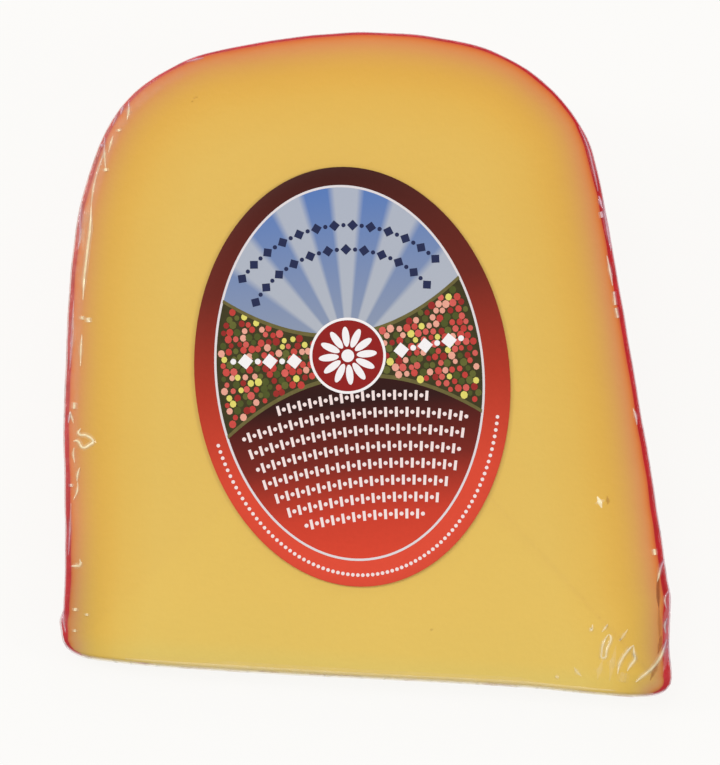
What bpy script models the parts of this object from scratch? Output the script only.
"""A wedge of young gouda in a red wax rind, sealed tight in clear film, with an oval label.

The wedge is a sector of a wheel. It lies on one cut face, at z = 0, with the other cut face
and its label up. +X runs along the wheel's axis and so along the thin tip edge, +Y runs from
the tip out to the rim, and the origin is at the middle of the box's underside.
"""

import math

import bmesh
import bpy
from mathutils import Vector, noise

# Driving dimensions, in metres and radians
WEDGE_ANGLE = math.radians(18.0)  # one wedge of twenty
TIP_TO_AXIS = 0.0134  # the wheel's axis lies this far behind the tip edge
EDGE_ROUND = 0.0013  # where the film turns over the edge of a cut face

# The cut face's outline, anticlockwise from the tip edge's left end: x, y from the tip edge, and the
# heading there in degrees
FACE_KNOTS = {
    "tip_start": (-0.0430, 0.0004, -4.0),
    "tip_low": (-0.0200, 0.0, 0.3),
    "tip_high": (0.0310, 0.0007, 0.0),
    "tip_end": (0.0495, 0.00035, 2.0),
    "right_corner": (0.0567, 0.0038, 92.0),
    "foot_waist": (0.05575, 0.0103, 91.0),
    "foot_swell": (0.0556, 0.0175, 96.0),
    "right_foot": (0.0547, 0.0210, 102.0),
    "right_shoulder": (0.0390, 0.0860, 105.0),
    "shoulder_kink": (0.0366, 0.0941, 110.0),
    "right_turn": (0.0338, 0.0988, 126.0),
    "upper_turn": (0.0252, 0.1067, 147.0),
    "rim_top": (0.0012, 0.1121, 180.0),
    "rim_left": (-0.0190, 0.1095, 192.0),
    "left_brow": (-0.0315, 0.10625, 199.0),
    "left_turn": (-0.0420, 0.0996, 222.0),
    "left_shoulder": (-0.0502, 0.0833, 256.0),
    "belly": (-0.0517, 0.0480, 270.5),
    "film_notch": (-0.0492, 0.0086, 271.0),
    "film_ear": (-0.04975, 0.0064, 270.0),
    "left_corner": (-0.0493, 0.0040, 277.0),
}

# Unevenness of the wax under the film
BROAD_SWELL = 0.00025
BROAD_SPACING = 0.021
FINE_SWELL = 0.00014
FINE_SPACING = 0.0065
FINE_OFFSET = Vector((7.0, 3.0, 5.0))  # so that the two patterns don't line up
WAX_START = 0.007  # the tip edge is bare and straight, and the unevenness grows up to here

# The label, stuck on the upper cut face and turned a little on it
LABEL_WIDTH = 0.0545
LABEL_LENGTH = 0.0728
LABEL_THICKNESS = 0.0003
LABEL_CENTRE = (-0.0021, 0.0521)  # on the cut face, from the tip edge
LABEL_TURN = math.radians(9.8)
STICKING_GAP = 0.0003

# Fineness of the meshes
OUTLINE_SPACING = 0.0034
LEAST_CORNER_STEPS = 5
SECTOR_STEPS = 10
EDGE_SEGMENTS = 3
LABEL_SIDES = 96
SHARP_ANGLE = math.radians(40.0)  # faces that meet at more than this keep a hard edge

# The box's middle, measured from the middle of the axis and from the tip edge
BOX_MIDDLE = Vector((0.00232, 0.05582, 0.0))

CHEESE_COLOUR = (0.75, 0.48, 0.11, 1.0)
CHEESE_ROUGHNESS = 0.35
LABEL_COLOUR = (0.42, 0.045, 0.02, 1.0)
LABEL_ROUGHNESS = 0.45


def clear_scene():
    """Remove every object of the startup scene."""
    for obj in list(bpy.data.objects):
        bpy.data.objects.remove(obj, do_unlink=True)


def make_material(name, colour, roughness):
    """Return a Principled material of one colour and roughness."""
    material = bpy.data.materials.new(name)
    material.use_nodes = True
    shader = material.node_tree.nodes["Principled BSDF"]
    shader.inputs["Base Color"].default_value = colour
    shader.inputs["Roughness"].default_value = roughness
    shader.inputs["Metallic"].default_value = 0.0
    material.diffuse_color = colour
    return material


def arc_between(start, end):
    """Return points from start up to, but not at, end, on one cubic that leaves and arrives along the headings."""
    first = Vector(start[:2])
    last = Vector(end[:2])
    chord = (last - first).length
    turn = math.radians((end[2] - start[2] + 180.0) % 360.0 - 180.0)
    reach = chord / (3.0 * math.cos(turn / 4.0) ** 2)
    leave = Vector((math.cos(math.radians(start[2])), math.sin(math.radians(start[2]))))
    arrive = Vector((math.cos(math.radians(end[2])), math.sin(math.radians(end[2]))))
    near = first + leave * reach
    far = last - arrive * reach
    steps = max(LEAST_CORNER_STEPS, round(chord / OUTLINE_SPACING))
    points = []
    for step in range(steps):
        share = step / steps
        rest = 1.0 - share
        points.append(
            first * rest**3 + near * 3.0 * rest**2 * share + far * 3.0 * rest * share**2 + last * share**3
        )
    return points


def face_outline():
    """Return the whole outline of the cut face, anticlockwise."""
    knots = list(FACE_KNOTS.values())
    points = []
    for index, knot in enumerate(knots):
        points += arc_between(knot, knots[(index + 1) % len(knots)])
    return points


def wax_swell(place):
    """Return how far the wax stands out or in at a place on the rind, and nothing on the bare tip edge."""
    broad = noise.noise(place / BROAD_SPACING) * BROAD_SWELL
    fine = noise.noise(place / FINE_SPACING + FINE_OFFSET) * FINE_SWELL
    return (broad + fine) * min(1.0, max(0.0, place.y / WAX_START))


def swell_the_wax(mesh):
    """Move the side walls in and out, each point within its own radial plane, so that the cut faces stay flat."""
    mesh.normal_update()
    moves = {}
    for vert in mesh.verts:
        turn = math.atan2(vert.co.z, vert.co.y + TIP_TO_AXIS)
        across = Vector((0.0, -math.sin(turn), math.cos(turn)))
        outward = vert.normal - across * vert.normal.dot(across)
        moves[vert] = outward.normalized() * wax_swell(vert.co)
    for vert, move in moves.items():
        vert.co += move


def build_wedge(collection):
    """Spin the cut face about the wheel's axis into the wrapped wedge, and round its edges."""
    mesh = bmesh.new()
    corners = [mesh.verts.new((point.x, point.y, 0.0)) for point in face_outline()]
    face = mesh.faces.new(corners)
    bmesh.ops.spin(
        mesh,
        geom=[face, *face.edges, *face.verts],
        cent=(0.0, -TIP_TO_AXIS, 0.0),
        axis=(1.0, 0.0, 0.0),
        dvec=(0.0, 0.0, 0.0),
        angle=WEDGE_ANGLE,
        steps=SECTOR_STEPS,
        use_duplicate=False,
    )
    bmesh.ops.recalc_face_normals(mesh, faces=mesh.faces)
    swell_the_wax(mesh)
    cut_faces = [found for found in mesh.faces if len(found.verts) > 4]
    rims = {edge for found in cut_faces for edge in found.edges}
    bmesh.ops.bevel(
        mesh,
        geom=list(rims),
        offset=EDGE_ROUND,
        segments=EDGE_SEGMENTS,
        profile=0.5,
        affect="EDGES",
        clamp_overlap=True,
    )
    for vert in mesh.verts:
        vert.co -= BOX_MIDDLE
    bmesh.ops.recalc_face_normals(mesh, faces=mesh.faces)
    data = bpy.data.meshes.new("wrapped_wedge")
    mesh.to_mesh(data)
    mesh.free()
    data.shade_smooth()
    data.set_sharp_from_angle(angle=SHARP_ANGLE)
    wedge = bpy.data.objects.new("wrapped_wedge", data)
    collection.objects.link(wedge)
    data.materials.append(make_material("waxed cheese in film", CHEESE_COLOUR, CHEESE_ROUGHNESS))
    return wedge


def build_label(collection):
    """Lay a thin oval card on the upper cut face, a sticking gap above it."""
    mesh = bmesh.new()
    bmesh.ops.create_cone(
        mesh,
        cap_ends=True,
        segments=LABEL_SIDES,
        radius1=0.5,
        radius2=0.5,
        depth=1.0,
    )
    bmesh.ops.scale(mesh, vec=(LABEL_WIDTH, LABEL_LENGTH, LABEL_THICKNESS), verts=mesh.verts)
    data = bpy.data.meshes.new("label")
    mesh.to_mesh(data)
    mesh.free()
    data.shade_smooth()
    data.set_sharp_from_angle(angle=SHARP_ANGLE)
    label = bpy.data.objects.new("label", data)
    collection.objects.link(label)
    data.materials.append(make_material("printed label", LABEL_COLOUR, LABEL_ROUGHNESS))

    lift = STICKING_GAP + LABEL_THICKNESS / 2.0
    slope = Vector((0.0, math.cos(WEDGE_ANGLE), math.sin(WEDGE_ANGLE)))
    normal = Vector((0.0, -math.sin(WEDGE_ANGLE), math.cos(WEDGE_ANGLE)))
    place = Vector((LABEL_CENTRE[0], -TIP_TO_AXIS, 0.0))
    place += slope * (TIP_TO_AXIS + LABEL_CENTRE[1]) + normal * lift
    label.location = place - BOX_MIDDLE
    label.rotation_mode = "ZYX"
    label.rotation_euler = (WEDGE_ANGLE, 0.0, LABEL_TURN)
    return label


def main():
    """Build the wedge and its label in one collection."""
    clear_scene()
    cheese = bpy.data.collections.new("gouda_wedge")
    bpy.context.scene.collection.children.link(cheese)
    build_wedge(cheese)
    build_label(cheese)
    bpy.context.view_layer.update()


main()
